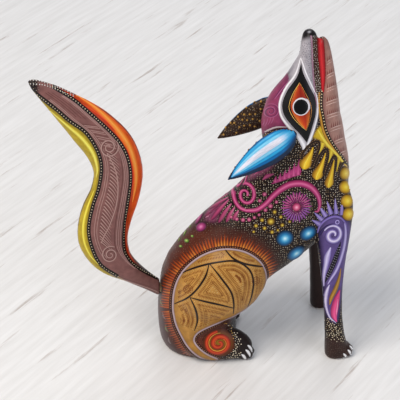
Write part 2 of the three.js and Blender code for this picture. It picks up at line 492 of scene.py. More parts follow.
# Strokes of acrylic laid over the ground with a fine brush: the same paint, glossier where it is
# thick, with hair lines that run along the stroke.
def acrylicStroke(name, streak=0.14):
    made, tree, surface = newMaterial(
        name, {"IOR": 1.45, "Specular IOR Level": 0.22, "Coat Weight": 0.05, "Coat Roughness": 0.22}
    )
    paint = addNode(tree, "ShaderNodeAttribute", {"attribute_name": "paint"})
    along = addNode(tree, "ShaderNodeUVMap", {"uv_map": "brush"})
    drawn = addNode(tree, "ShaderNodeMapping", None, {"Vector": along.outputs[0], "Scale": (1.2, 9, 1)})
    hairs = addNode(
        tree, "ShaderNodeTexNoise", None, {"Vector": drawn.outputs[0], "Scale": 3.0, "Detail": 3.0}
    )
    uneven = addNode(
        tree, "ShaderNodeMapRange", None,
        {"Value": hairs.outputs["Fac"], "From Min": 0.3, "From Max": 0.7, "To Min": 1 - streak,
         "To Max": 1 + streak},
    )
    streaked = addNode(
        tree, "ShaderNodeVectorMath", {"operation": "SCALE"},
        {0: paint.outputs["Color"], "Scale": uneven.outputs["Result"]},
    )
    sheen = addNode(
        tree, "ShaderNodeMapRange", None, {"Value": hairs.outputs["Fac"], "To Min": 0.26, "To Max": 0.4}
    )
    raised = addNode(
        tree, "ShaderNodeBump", None, {"Height": hairs.outputs["Fac"], "Strength": 0.2, "Distance": 0.05 * mm}
    )
    tree.links.new(streaked.outputs[0], surface.inputs["Base Color"])
    tree.links.new(sheen.outputs["Result"], surface.inputs["Roughness"])
    tree.links.new(raised.outputs["Normal"], surface.inputs["Normal"])
    return made


# Copal wood as whittled: pale, matt, with fine straight grain.
def bareCopal(name):
    made, tree, surface = newMaterial(name, {"Roughness": 0.62, "IOR": 1.5})
    place = addNode(tree, "ShaderNodeTexCoord").outputs["Object"]
    pulled = addNode(tree, "ShaderNodeMapping", None, {"Vector": place, "Scale": (0.15, 1, 1)})
    grain = addNode(
        tree, "ShaderNodeTexNoise", None,
        {"Vector": pulled.outputs[0], "Scale": perMm(0.8), "Detail": 6.0, "Distortion": 0.4},
    )
    toned = addNode(
        tree, "ShaderNodeMix", {"data_type": "RGBA"},
        {"Factor": grain.outputs["Fac"], 6: (*linear("#b98f5c"), 1), 7: (*linear("#e6cda2"), 1)},
    )
    raised = addNode(
        tree, "ShaderNodeBump", None, {"Height": grain.outputs["Fac"], "Strength": 0.4, "Distance": 0.1 * mm}
    )
    tree.links.new(toned.outputs[2], surface.inputs["Base Color"])
    tree.links.new(raised.outputs["Normal"], surface.inputs["Normal"])
    return made


groundPaint = acrylicGround("acrylicGroundOnCopal", stipple)
strokePaint = acrylicStroke("acrylicBrushStrokes")
copal = bareCopal("bareCopalWood")
for node in ("tail_peg", "right_ear_peg", "left_ear_peg"):
    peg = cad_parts[node].data
    peg.materials.clear()
    peg.materials.append(copal)
print("materials made")


# Ground colours, brushed on each form as a colour attribute whose alpha says how stippled it is.
def edgeDistance(x, h, points, closed):
    # distance from a smooth line in mm, positive inside a closed one or to the left of an open one
    ring = list(points) + [points[0]] if closed else points
    line = np.array(smoothLine(ring, 1.5))
    nearest = np.full(len(x), np.inf)
    sign = np.ones(len(x))
    inside = np.zeros(len(x), bool)
    for (ax, ah), (bx, bh) in zip(line, line[1:]):
        dx, dh = bx - ax, bh - ah
        size = dx * dx + dh * dh
        if size < 1e-9:
            continue
        share = np.clip(((x - ax) * dx + (h - ah) * dh) / size, 0, 1)
        away = np.hypot(x - ax - share * dx, h - ah - share * dh)
        closer = away < nearest - 1e-6
        nearest = np.where(closer, away, nearest)
        if closed:
            crosses = ((ah > h) != (bh > h)) & (x < dx * (h - ah) / (dh + 1e-12) + ax)
            inside ^= crosses
        else:
            sign = np.where(closer, np.where(dx * (h - ah) - dh * (x - ax) > 0, 1, -1), sign)
    return nearest * (np.where(inside, 1, -1) if closed else sign)


sameSpot = 2  # mm between a corner and where its mark lands, within which the view shows it


def groundOf(node, base, alpha):
    # each vertex's place in the slanted side view of its flank, and whether that view shows it
    mesh = forms[node]["object"].data
    places = np.empty(len(mesh.vertices) * 3)
    mesh.vertices.foreach_get("co", places)
    places = places.reshape(-1, 3) / mm
    side = np.where(places[:, 1] < 0, right, left)
    x = places[:, 0]
    h = places[:, 2] * math.cos(lean) - side * places[:, 1] * math.sin(lean)
    seen = np.zeros(len(x))
    for i, (px, ph, s) in enumerate(zip(x, h, side)):
        hit = onForm(node, px, ph, int(s))
        if hit is not None and (hit[0] / mm - Vector(places[i])).length < sameSpot:
            seen[i] = 1
    colour = np.tile((*linear(base), alpha), (len(x), 1)).astype(float)
    return {"mesh": mesh, "places": places, "x": x, "h": h, "seen": seen, "colour": colour}


def layZone(ground, zone, distance=None):
    # distance is mm inside the zone for each corner, taken from its outline where none is given
    if distance is None:
        distance = edgeDistance(ground["x"], ground["h"], zone["outline"], True)
    soft = zone.get("soft", 0.5)
    weight = np.clip(distance / soft + 0.5, 0, 1) * (ground["seen"] if zone.get("seenOnly", True) else 1)
    depth = np.clip(distance / zone.get("fade", 1), 0, 1)[:, None]
    rim = np.array((*linear(zone.get("rim", zone["colour"])), zone.get("alpha", 0)))
    middle = np.array((*linear(zone["colour"]), zone.get("alpha", 0)))
    laid = rim * (1 - depth) + middle * depth
    ground["colour"] = ground["colour"] * (1 - weight[:, None]) + laid * weight[:, None]


def washWhere(ground, weight, colour):
    # lays one colour over the ground by a weight for each corner, with no stipple
    weight = weight[:, None]
    ground["colour"] = ground["colour"] * (1 - weight) + weight * np.array((*linear(colour), 0))


def facesSideways(ground):
    # the sideways part of the way each corner faces
    outward = np.empty(len(ground["x"]) * 3)
    ground["mesh"].vertices.foreach_get("normal", outward)
    return outward[1::3]


def finishGround(node, ground):
    attribute = ground["mesh"].attributes.new("ground", "FLOAT_COLOR", "POINT")
    attribute.data.foreach_set("color", ground["colour"].astype(np.float32).ravel())
    ground["mesh"].materials.append(groundPaint)
    print("ground laid on", node)


darkGround = "#180c0a"
# the tan shield on the haunch
cartouche = [
    (-11.4, 15), (-11.1, 20.6), (-10, 25.6), (-7.6, 30.4), (-3.3, 34.8), (2, 38), (8.5, 39.6), (15, 39),
    (20.6, 36.6), (25.4, 32.2), (27.5, 26.6), (26.8, 21.5), (23, 16.4), (16, 12), (8.6, 8.8), (2, 6.4),
    (-2, 4.2), (-3.4, 1), (-1.4, -2.6), (2.2, -5.8), (7.2, -8.8), (2.4, -8.2), (-2.2, -5.4), (-5.4, -1.8),
    (-8.2, 3.4), (-10.4, 9),
]
# the two rims of the eye, from its upper corner to its lower one
eyeLeft = [
    (41.5, 112.5), (39.7, 107.2), (36.1, 102.4), (33.8, 97.4), (34.1, 92.9), (36.7, 88.7), (40.3, 84.6),
    (43.2, 81),
]
eyeRight = [(41.5, 112.5), (42.1, 108.4), (44.5, 103), (46.7, 98.3), (46.8, 92.9), (45.4, 87.5), (43.2, 81)]
# The zones of the body, laid in this order. Each has a colour that fades to its rim's over fade mm,
# and an edge soft mm wide; alpha is how stippled it is.
bodyZones = {
    "rumpBrown": {
        "outline": [
            (-19, 45), (-12, 52), (0, 53), (14, 50), (26, 44), (34, 34), (33, 22), (24, 10), (14, 6),
            (6, -12), (-18, -12), (-22, 10),
        ],
        "colour": "#52261a", "rim": "#2a1714", "fade": 7, "soft": 5, "alpha": 0.1,
    },
    "rumpMauve": {
        "outline": [
            (-24, 44), (-17, 40), (-14.4, 28), (-14, 14), (-12.6, 2), (-6, -8), (-10, -14), (-26, -14),
        ],
        "colour": "#5f4c4e", "rim": "#3a2422", "fade": 4, "soft": 3, "alpha": 0,
    },
    "shoulderRose": {
        "outline": [(2, 52), (8, 62), (16, 70), (26, 78), (33, 79), (30, 71), (20, 66), (11, 58), (8, 51)],
        "colour": "#8d4569", "rim": "#3a1a28", "fade": 3, "soft": 2, "alpha": 0.2,
    },
    "haunchTan": {"outline": cartouche, "colour": "#b58440", "rim": "#9a6e32", "fade": 3, "soft": 0.6},
    "foreleg": {
        "outline": [
            (48.9, 46), (50.6, 49.6), (54.5, 51.4), (60, 50), (64, 45), (63.4, 36), (62, 27), (60, 14),
            (58.6, 5), (55.8, 4.4), (53.2, 8), (52, 14), (51.2, 24), (49.9, 36),
        ],
        "colour": "#58477f", "rim": "#241a3a", "fade": 2, "soft": 0.7,
    },
    "hindFoot": {
        "outline": [(14, 10), (24, 4), (30, -4), (30, -14), (12, -14), (15.4, -5), (15.6, 0), (13.6, 5)],
        "colour": "#1c1110", "fade": 2, "soft": 2, "alpha": 0,
    },
    "forelegFoot": {
        "outline": [(49, -2), (62, -2), (72, -6), (70, -16), (48, -16)], "colour": "#33201c",
        "rim": "#241413", "fade": 3, "soft": 2, "alpha": 0.1,
    },
    # the gold darkens to olive towards its rim, a painted shadow along its edges
    "neckGold": {
        "outline": [
            (47, 86), (49.6, 87.6), (52, 82), (55.4, 77.4), (60.4, 72.2), (62.8, 69.6), (59.4, 71.4),
            (57, 74), (54.6, 76), (52.6, 77.8), (50.2, 79.8), (48.2, 81.4), (46.4, 82.4), (45.4, 83.2),
        ],
        "colour": "#cfae24", "rim": "#9a7420", "fade": 1, "soft": 0.6, "alpha": 0,
    },
    "forehead": {
        "outline": [
            (39, 109.5), (33, 106), (28, 101), (21, 94), (21, 86), (25.4, 85.4), (30.8, 87.8), (35.6, 87.4),
            (33.4, 91), (33, 96.4), (35.5, 102.6),
        ],
        "colour": "#8c395c", "rim": "#702c50", "fade": 3, "soft": 0.6,
    },
    "snoutWhite": {
        "outline": [
            (37, 108.5), (40, 116), (41.5, 123), (45.2, 123.5), (45.6, 115), (46.1, 108), (46.9, 101),
            (47.6, 95), (47.4, 89), (45.4, 83.5), (42.4, 76.4), (41, 81), (38.4, 84.4), (35, 88.6),
            (32.8, 95), (34, 100.5), (36.5, 105.5),
        ],
        "colour": "#a8a3aa", "rim": "#86818b", "fade": 1.4, "soft": 0.5,
    },
    "lip": {
        "outline": [
            (45, 124), (45.5, 115), (46.1, 108), (46.8, 101), (47.6, 93.5), (48.8, 95), (49.4, 101),
            (49, 108), (48, 114.5), (47.5, 123),
        ],
        "colour": "#34201a", "rim": "#6a4a3c", "fade": 0.7, "soft": 0.4, "alpha": 0.8,
    },
    "throat": {
        "outline": [
            (50.6, 123), (54, 118), (57, 108), (59, 100), (62, 90), (66, 80), (66, 71), (60.5, 73),
            (56, 78), (53, 82), (51.2, 86), (50.6, 90), (49.8, 95), (50.3, 101), (51, 107.5), (50.6, 114),
        ],
        "colour": "#a67c70", "rim": "#85564e", "fade": 1.8, "soft": 0.5,
    },
    "nose": {
        "outline": [(39, 120.5), (41, 130), (49, 130), (48.6, 123), (46, 121.6), (43.5, 121.5)],
        "colour": "#151012", "rim": "#3a3438", "fade": 1.2, "soft": 1.6,
    },
}

ground = groundOf("carved_body", darkGround, 1.0)
washWhere(ground, 1 - ground["seen"], "#2a1a18")
for zone in bodyZones.values():
    layZone(ground, zone)
# bare wood on the flat underside, up to about half a millimetre from the shelf
washWhere(ground, np.clip(0.6 - ground["places"][:, 2], 0, 0.5) * 2, "#8a6a45")
finishGround("carved_body", ground)

# where the tail's mauve band meets the olive one and the flame, from the tip to the root
tailOuter = [
    (-64, 107.5), (-56.5, 101), (-51, 95.8), (-45, 91), (-41, 84.5), (-39.2, 77.5), (-40.5, 69),
    (-43.5, 61), (-45.5, 52), (-44.4, 44), (-41, 36.5), (-34, 31),
]
tailInner = [
    (-57, 109.5), (-49, 104), (-42, 97.5), (-35, 90.5), (-30.4, 84.5), (-28, 78), (-27.6, 70.5),
    (-29.2, 61), (-30.7, 51.5), (-31, 43), (-29.4, 38.6), (-26.4, 35), (-22, 31.8), (-17, 28.8),
]
tailZones = {
    "olive": {"colour": "#b39a22", "rim": "#4a3a12", "fade": 1.6, "soft": 0.4, "seenOnly": False},
    "flame": {"colour": "#e0561c", "rim": "#8a1d12", "fade": 2.6, "soft": 0.4, "seenOnly": False},
    "tip": {
        "outline": [(-72, 116), (-64, 115), (-62.4, 109.5), (-64.6, 105), (-72, 104)],
        "colour": "#171113", "rim": "#2a2022", "fade": 1, "soft": 2, "alpha": 0.5, "seenOnly": False,
    },
    "root": {
        "outline": [(-27, 38), (-20, 34), (-12, 26), (-12, 12), (-22, 14), (-28, 24)],
        "colour": "#6e4a45", "rim": "#6e4a45", "fade": 2, "soft": 4, "alpha": 0, "seenOnly": False,
    },
}
ground = groundOf("tail", "#7d5450", 0.0)
outside = -edgeDistance(ground["x"], ground["h"], tailOuter, False)
within = edgeDistance(ground["x"], ground["h"], tailInner, False)
layZone(ground, tailZones["olive"], outside)
layZone(ground, tailZones["flame"], within)
layZone(ground, tailZones["root"])
layZone(ground, tailZones["tip"])
# a dark line down the tail's two narrow edges
washWhere(ground, np.clip((0.34 - np.abs(facesSideways(ground))) / 0.3, 0, 0.8), "#2e1410")
finishGround("tail", ground)

for node, side in (("right_ear", right), ("left_ear", left)):
    ground = groundOf(node, "#33231a", 0.35)
    outerFace = {"colour": "#0c2a48", "soft": 0.5, "seenOnly": False}
    layZone(ground, outerFace, side * facesSideways(ground) - 0.35)
    finishGround(node, ground)


# The head. Each colour list runs from one edge of a stroke to the other.
headPaint = {
    # the eye's black is lighter at its two edges, a painted sheen
    "black": ["#1b181b", "#09080a", "#09080a", "#1b181b"],
    "whiteLine": ["#b4b0b8", "#f4f2f6", "#b4b0b8"],
    "throatLight": ["#c9a396", "#e0c0b4", "#c9a396"],
    "throatDark": ["#8a5149", "#74403a", "#8a5149"],
    "rose": ["#7a3058", "#b0658e", "#7a3058"],
    "wine": ["#74305a", "#5e2246", "#74305a"],
    "beadPitch": 1.08,
    "beadSize": 0.34,
    "throatRows": 9,
    "throatTop": 112,
    "throatPitch": 5.2,
    "tilt": 1.6,
}
coatOn("head_paint", "carved_body")
stroke(
    "head_paint",
    [
        (41.5, 114.5, 0.3), (39.2, 108.2, 0.8), (35.3, 103, 0.9), (32.9, 97.6, 0.9), (33.1, 92.6, 0.9),
        (35.8, 88, 1.1), (39.5, 83.8, 1.7), (41.9, 80.2, 2), (42.2, 77, 0.6),
    ],
    [headPaint["whiteLine"]], height=0.1,
)
stroke(
    "head_paint",
    [
        (41.5, 114.5, 0.3), (42.9, 109, 0.7), (45.3, 103.6, 0.7), (47.5, 98.5, 0.7), (47.6, 92.8, 0.8),
        (46.2, 87, 0.9), (43.9, 81, 1.2), (42.4, 77.4, 0.4),
    ],
    [headPaint["whiteLine"]], height=0.1,
)
band("head_paint", eyeLeft, eyeRight, [headPaint["black"]], across=10, height=0.14, count=44)
# the iris, then the white ring, which greys towards its rim as painted shade, and the black pupil, with a
# painted highlight over it and a painted blue reflection under it
irisLeft = [(40.6, 104.8), (37.8, 100.4), (36.2, 95.8), (37.4, 91.8), (40.3, 88.2), (42.8, 86)]
irisRight = [(40.6, 104.8), (42.7, 100.6), (44.8, 95.6), (44.6, 91), (42.8, 86)]
band("head_paint", irisLeft, irisRight,
     [["#d9822a", "#b83c18", "#8c2014", "#b8451c"], ["#b8471c", "#8c1c12", "#6a1510", "#a0301a"],
      ["#f0a83a", "#d8501a", "#c23416", "#ef9a34"]], across=8, height=0.2, count=30)
stroke(
    "head_paint", [(*p, 0.45) for p in irisLeft], [["#d8862a", "#ffd069", "#d8862a"]], across=2,
    height=0.24,
)
stroke(
    "head_paint", [(*p, 0.4) for p in irisRight], [["#b5541c", "#f2a64a", "#b5541c"]], across=2,
    height=0.24,
)
disc("head_paint", (40.9, 95.4), (4, 4.2), ["#ffffff", "#f4f2f6", "#b8b0ba"], height=0.28, around=32)
disc("head_paint", (40.8, 95.3), (3.5, 3.7), ["#050406", "#050406", "#0c0b0d"], height=0.36, around=32)
# painted highlight arc on the upper pupil
stroke("head_paint", [(39.6, 98.6, 0.15), (41.4, 98.7, 0.7), (43.1, 97.5, 0.8), (43.9, 95.6, 0.2)],
       [["#5f5c66", "#e8e6ea", "#5f5c66"]], across=2, height=0.42)
# painted blue reflection on the lower pupil
stroke("head_paint", [(39, 93.6, 0.15), (40.2, 92.8, 0.4), (41.8, 92.9, 0.15)],
       [["#1c2430", "#4a5a72", "#1c2430"]], across=2, height=0.42)
# lip, mouth and the beaded line that runs from the mouth's corner down the throat
stroke(
    "head_paint",
    [(45.1, 122.5, 0.8), (45.6, 115, 0.8), (46.1, 108, 0.8), (46.7, 101, 0.7), (47.5, 94.5, 0.4)],
    [["#6e4a5e", "#b08a9c", "#5c3a4a"]], height=0.1,
)
mouthTop = [(47.6, 122.6), (48.1, 114.5), (49, 108), (49.5, 100.8)]
mouthLow = [(50.3, 122), (50.9, 114.5), (51.2, 107.5), (50.6, 100.6)]
band("head_paint", mouthTop, mouthLow, [["#5a0a10", "#a8141e", "#cc2a30", "#a0161e", "#650c12"]],
     across=6, height=0.1, count=34)
beadedThroat = [(49.7, 101), (49.2, 95.5), (50, 90.5), (51, 86), (53, 82), (56.2, 77.8), (61, 72.6), (65, 69)]
stroke("head_paint", [(p[0] - 1.1, p[1] - 0.4, 1.1) for p in beadedThroat],
       [["#6a3d14", "#c28a34", "#a06a24"], ["#7a4a14", "#d9a832", "#b07a20"]], height=0.08)
stroke("head_paint", [(*p, 1.25) for p in beadedThroat], [["#1a0f0c", "#0d0808", "#1a0f0c"]], height=0.12)
beadLine("head_paint", beadedThroat, headPaint["beadPitch"], headPaint["beadSize"], ["#c9a56a", "#f7e6bd"])
# rows of tooth-like hatching between pale rules, down the throat
for level in range(headPaint["throatRows"]):
    h = headPaint["throatTop"] - headPaint["throatPitch"] * level
    start = 51.4 if level < 5 else 51.4 + 1.7 * (level - 4)
    end = 54.4 + 1.05 * level
    for row in (0, 1.1):
        stroke(
            "head_paint",
            [
                (start, h - row, 0.1), ((start + end) / 2, h - row + headPaint["tilt"] * 0.6, 0.42),
                (end, h - row + headPaint["tilt"], 0.1),
            ],
            [headPaint["throatLight"]], across=2, height=0.07,
        )
    teeth = max(2, round((end - start) / 1.1))
    for tooth in range(teeth):
        x = start + 0.5 + (end - start - 0.6) * tooth / teeth
        foot = h + 0.5 + headPaint["tilt"] * tooth / teeth
        stroke("head_paint", [(x, foot, 0.7), (x + 0.1, foot + 1, 0.45), (x + 0.2, foot + 2, 0.08)],
               [headPaint["throatDark"]], across=2, height=0.07)
# the forehead's swirl and its pale lower edge
scroll(
    "head_paint", (29.6, 94.6), (2.6, 0.4), -2, 120, [0.3, 0.6, 0.4], [headPaint["wine"]], across=2,
    height=0.08,
)
scroll(
    "head_paint", (29.6, 94.6), (3.2, 0.5), -2, 120, [0.2, 0.4, 0.2], [headPaint["rose"]], across=2,
    height=0.08,
)
for step in range(4):
    stroke(
        "head_paint",
        [
            (30.4 + step * 0.9, 99 + step * 0.4, 0.2), (33.2 + step * 0.5, 102.4, 0.45),
            (37 + step * 0.2, 107 - step * 0.6, 0.15),
        ],
        [headPaint["rose"] if step % 2 else headPaint["wine"]], across=2, height=0.08,
    )
for step in range(5):
    stroke("head_paint", [(25.4 + step, 88.4 + 0.3 * step, 0.2), (26.2 + step, 90 + 0.3 * step, 0.35),
                          (26.4 + step, 91.6 + 0.2 * step, 0.1)], [headPaint["rose"]], across=2, height=0.07)
stroke("head_paint", [(23.6, 85.8, 0.3), (26, 86.2, 0.8), (30.8, 88, 0.8), (35.2, 87.8, 0.3)],
       [["#8c7680", "#cfc0c6", "#8c7680"]], across=2, height=0.1)
# two painted highlights on the glossy black nose
for glint in ((42.6, 125), (44.6, 124)):
    disc("head_paint", glint, (1.1, 0.7), ["#b8b8be", "#5a585e", "#1c1a1c"], height=0.08, around=14, rings=3)

snoutGrey = [(39.6, 110), (41.4, 115.5), (42, 120), (45, 121), (45.2, 115), (45.7, 108), (46.3, 102.5),
             (45.4, 103.8), (43.8, 109), (41.6, 114.8)]
scatter("head_paint", snoutGrey, 0.72, 0.2, ["#5d5862", "#6f6a75"])
scatter("head_paint", bodyZones["lip"]["outline"], 0.85, 0.19, ["#8f8880", "#f0e8e0"], chance=0.75)
finishCoat("head_paint", strokePaint)


# The neck: gold paint that runs down in drips between dotted brown loops, and egg-shaped blobs
# down the front of the chest
neckPaint = {
    # the drips' gold is shaded dark at both edges as painted shade, and glint is a painted highlight
    "gold": ["#5c3a0e", "#b8861a", "#f0cc34", "#d9ac24", "#6a430f"],
    "glint": ["#e0bc2c", "#f8e468", "#e0bc2c"],
    # blob is bright in the middle and shaded to a dark rim, painted light and shade
    "blob": ["#f8e060", "#e4c02a", "#c0921c", "#3a220c"],
    "beadPitch": 0.75,
    "beadSize": 0.17,
}
coatOn("neck_paint", "carved_body")
arches = [
    [
        (41.4, 74.6), (41.6, 77), (43.6, 79.6), (46, 81.2), (48, 81.2), (48.4, 78.6), (46.9, 74.8),
        (45.4, 71.4),
    ],
    [(46.4, 70.8), (48, 74.8), (50, 77.4), (51.8, 78), (52.3, 75.2), (51.4, 72), (50.2, 68.6)],
    [(51.2, 67.4), (52.7, 71.6), (54.4, 74.6), (55.8, 74.8), (55.9, 71.6), (55.2, 68.6), (54.6, 65.6)],
    [(57.4, 67), (58, 70), (59.6, 72.2), (61.6, 72)],
]
for spike in (
    [(50, 80.6, 3), (49, 78, 1.5), (47.7, 74.6, 0.2)],
    [(54, 77.4, 2.8), (53.2, 74.4, 1.3), (52, 70.8, 0.2)],
    [(57.8, 75, 2.6), (57, 72, 1.2), (56.4, 68.6, 0.2)],
):
    stroke("neck_paint", spike, [["#a07a1e", "#e8cc3a", "#a07a1e"]], height=0.1)
for arch in arches:
    stroke("neck_paint", [(*p, 1.5) for p in arch], [["#3a2410", "#1c100a", "#3a2410"]], height=0.14)
    line = smoothLine(arch, 0.3)
    for out in (-0.5, 0.5):
        edge = []
        for p, q in zip(line, line[1:]):
            ahead = (Vector(q) - Vector(p)).normalized()
            edge.append((p[0] - ahead.y * out, p[1] + ahead.x * out))
        beadLine(
            "neck_paint", edge[::3], neckPaint["beadPitch"], neckPaint["beadSize"], ["#8a6236", "#c49a62"],
        )
drips = [
    [
        (45.8, 79.2, 0.39), (45, 77, 1.95), (43.9, 74.8, 3.64), (42.9, 73, 5.2), (42.5, 71.7, 4.68),
        (42.2, 70.7, 1.82),
    ],
    [
        (51.2, 76.6, 0.39), (50.2, 73.6, 1.56), (49, 70.6, 3.12), (48, 68.4, 4.68), (47.6, 67, 4.16),
        (47.4, 66.1, 1.56),
    ],
    [
        (55.1, 73.6, 0.39), (54.4, 70.4, 1.56), (53.7, 67.4, 2.86), (53.1, 64.8, 4.16), (52.8, 63.5, 3.64),
        (52.7, 62.5, 1.43),
    ],
]
# each drip runs from dark edges to a bright middle, painted shade and light on its rounded form, with a
# painted highlight stroke just behind its middle
for drip in drips:
    stroke("neck_paint", drip, [neckPaint["gold"]], height=0.26, step=0.5)
    glint = [(x - 0.25, h, 0.1 + 0.2 * w) for x, h, w in drip[1:-1]]
    stroke("neck_paint", glint, [neckPaint["glint"]], across=2, height=0.3)
stroke(
    "neck_paint",
    [
        (47.6, 86, 0.5), (49.4, 83, 1.2), (52, 79.8, 1.3), (55.6, 76.4, 1.2), (59.2, 72.8, 1),
        (61.4, 70.6, 0.4),
    ],
    [["#cfae24", "#f4e05a", "#cfae24"]], height=0.12,
)
# yellow blobs down the chest front, bright on top and shaded to a dark rim: painted light and shade on their
# rounded forms
for place in ((60.9, 67.8), (60.6, 62.2), (61, 56.4), (61.6, 51)):
    disc("neck_paint", place, (3.3, 2.9), neckPaint["blob"], height=0.34, around=24)
finishCoat("neck_paint", strokePaint)

# The flank: one long scroll with a fan and a comb, a flower, and blobs in yellow, pink and blue
flankPaint = {
    "magenta": ["#4f1034", "#a02c64", "#cf6494", "#a02a60", "#430c2a"],
    "pinkDot": ["#d9809c", "#a8406a", "#360c22"],
    "yellowDot": ["#e0cc5a", "#b08f22", "#5a3c10", "#1c120a"],
    # blueBlob has a painted highlight at its middle
    "blueBlob": ["#e0f8ff", "#86d2ee", "#2c90c4", "#17699e", "#103e62", "#0a121c"],
    "ticks": 26,
    "petals": 28,
}
coatOn("flank_paint", "carved_body")
scroll(
    "flank_paint", (19.9, 61.8), (4.9, 0.5), -1.85, 262, [1.7, 1.7, 1.4, 1], [flankPaint["magenta"]],
    height=0.22, squash=1.32,
)
stroke(
    "flank_paint",
    [
        (19.2, 55.3, 1.6), (23.4, 55.3, 2.1), (27, 57.4, 2.3), (30, 60.4, 2.5), (33.2, 63, 2.8),
        (37, 64.8, 3), (41.6, 64.8, 3), (45.6, 62.8, 2.8), (48.4, 59.2, 2.3), (49.2, 55.6, 1.7),
        (48.4, 53, 1.2), (47, 53.2, 0.5),
    ],
    [flankPaint["magenta"]], height=0.22,
)
# short dark ticks along the scroll's crest
crest = [(27.6, 59.2), (31, 62.6), (36.6, 65.4), (42, 65.6), (46.2, 63), (48.8, 59)]
for tick in range(flankPaint["ticks"]):
    share = tick / (flankPaint["ticks"] - 1)
    x, h = alongList(crest, share)
    stroke(
        "flank_paint", [(x, h, 0.3), (x + 0.5 - share, h - 1.1, 0.12)], [["#480c30", "#5a1440", "#480c30"]],
        across=2, height=0.3,
    )
rays = [
    ((14, 66.4), (5, 60.4)), ((13.4, 64.4), (3.4, 57)), ((13.4, 62.4), (3.8, 54.2)),
    ((13.6, 60.4), (5.6, 52.2)), ((14.2, 58.6), (8.4, 51)), ((15.2, 57), (11.4, 51)),
    ((16.6, 55.6), (14.2, 51.6)),
]
for root, tip in rays:
    middle = ((tip[0] + root[0]) / 2, (tip[1] + root[1]) / 2 + 0.3)
    stroke(
        "flank_paint", [(*root, 0.4), (*middle, 1.7), (*alongList([middle, tip], 0.75), 1.5), (*tip, 0.3)],
        [
            ["#6a1a44", "#c4608c", "#6a1a44"], ["#5a153a", "#b0446f", "#5a153a"],
            ["#2c0f22", "#8c2f58", "#2c0f22"],
        ],
        height=0.16,
    )
    stroke("flank_paint", [(*root, 0.1), (*middle, 0.35), (*tip, 0.1)], [["#d98ab0", "#eab0cc", "#d98ab0"]],
           across=2, height=0.2)
leaves = [((20.6, 70.4), (24.6, 74.6)), ((24.4, 70), (28.6, 73.4)), ((26.6, 67.4), (31, 69.6))]
for (x, h), (tipX, tipH) in leaves:
    stroke("flank_paint", [(x, h, 0.3), ((x + tipX) / 2 - 0.3, (h + tipH) / 2 + 0.4, 1.9), (tipX, tipH, 0.2)],
           [["#5a153a", "#b04a78", "#5a153a"]], height=0.14)
stroke("flank_paint", [(29.8, 65.6, 0.5), (33, 66.6, 1), (37, 67.9, 1), (41, 68.6, 0.7)],
       [["#5a153a", "#a83a70", "#5a153a"]], height=0.14)
stroke(
    "flank_paint",
    [(30.6, 65.8, 0.6), (34, 67.6, 1.6), (37.6, 69.2, 2.8), (40.2, 70.4, 3.6), (41, 70.7, 2)],
    [["#7a2050", "#b83c7c", "#9c3068"]], height=0.1,
)
for tooth in range(6):
    x = 31.2 + 1.75 * tooth
    base = 66.4 + 0.5 * tooth
    tallTooth = 2.2 + 0.72 * tooth
    stroke(
        "flank_paint",
        [(x, base - 0.3, 2), (x + 0.1, base + tallTooth * 0.45, 1.1), (x + 0.4, base + tallTooth, 0.12)],
        [["#7a2050", "#d05c94", "#7a2050"], ["#6a1a48", "#b03c78", "#6a1a48"]], height=0.14,
    )
flower = (39.4, 55.4)
for petal in range(flankPaint["petals"]):
    angle = 2 * math.pi * petal / flankPaint["petals"]
    inner, outer = 2, 6.5 - 0.5 * (petal % 2)
    core = "#cc5a94" if math.sin(angle) > -0.1 else "#9c62b4"
    stroke(
        "flank_paint",
        [
            (flower[0] + r * math.cos(angle), flower[1] + r * math.sin(angle), w)
            for r, w in ((inner, 0.3), ((inner + outer) / 2, 0.75), (outer - 0.6, 0.85), (outer, 0.2))
        ],
        [
            ["#4f1038", "#8c2f6c", "#4f1038"], ["#5a1c4c", core, "#5a1c4c"],
            ["#3a0f2c", "#8a4484", "#3a0f2c"],
        ],
        across=2, height=0.18,
    )
# the flower's pink middle, with a painted highlight at its centre
disc("flank_paint", flower, (1.9, 1.9), ["#f4b0cc", "#d9688c", "#a83462", "#521236"], height=0.34, around=20)
for x, h, r in (
    (27, 61.5, 1), (25, 59, 0.9), (29, 56.5, 1.1), (31.4, 58, 0.8), (27, 55, 0.9), (13.5, 53, 0.8),
    (15.6, 52, 0.9), (18, 51.5, 1), (20.4, 51.5, 1), (22.5, 52.2, 0.8), (24.4, 53.2, 0.7),
):
    disc("flank_paint", (x, h), (r, r), flankPaint["pinkDot"], height=0.26, around=12, rings=3)
for x, h, r in (
    (25.5, 51, 1.1), (29, 50.2, 1.9), (30.6, 54, 1.1), (33, 51.8, 1), (33.6, 48.4, 1.1), (29.4, 45.8, 1.1),
    (26.4, 47.6, 1.1), (23, 48.8, 1.1), (31.8, 46.4, 0.8), (36.6, 49.6, 0.8), (22, 46.4, 0.8),
):
    disc("flank_paint", (x, h), (r, r), flankPaint["yellowDot"], height=0.3, around=14, rings=4)
# blue blobs with a painted highlight at their middle
for x, h, wide, high, turn in ((34.8, 42.8, 3.8, 3.4, 0), (44.8, 44.2, 3.9, 3.1, 20), (40.4, 36, 4.4, 3, 22)):
    disc(
        "flank_paint", (x, h), (wide, high), flankPaint["blueBlob"], turn=turn, height=0.34, around=22,
        rings=6,
    )
disc("flank_paint", (1.6, 49.6), (2.3, 1.7), ["#d980b0", "#9c3870", "#360c26"], turn=40, height=0.28)
for x, h, r in ((-4.5, 44.2, 1), (-7, 42, 0.7), (-2.2, 46, 0.6)):
    disc(
        "flank_paint", (x, h), (r, r * 0.9), ["#c8e07a", "#6a8c34", "#22301a"], height=0.24, around=12,
        rings=3,
    )
finishCoat("flank_paint", strokePaint)


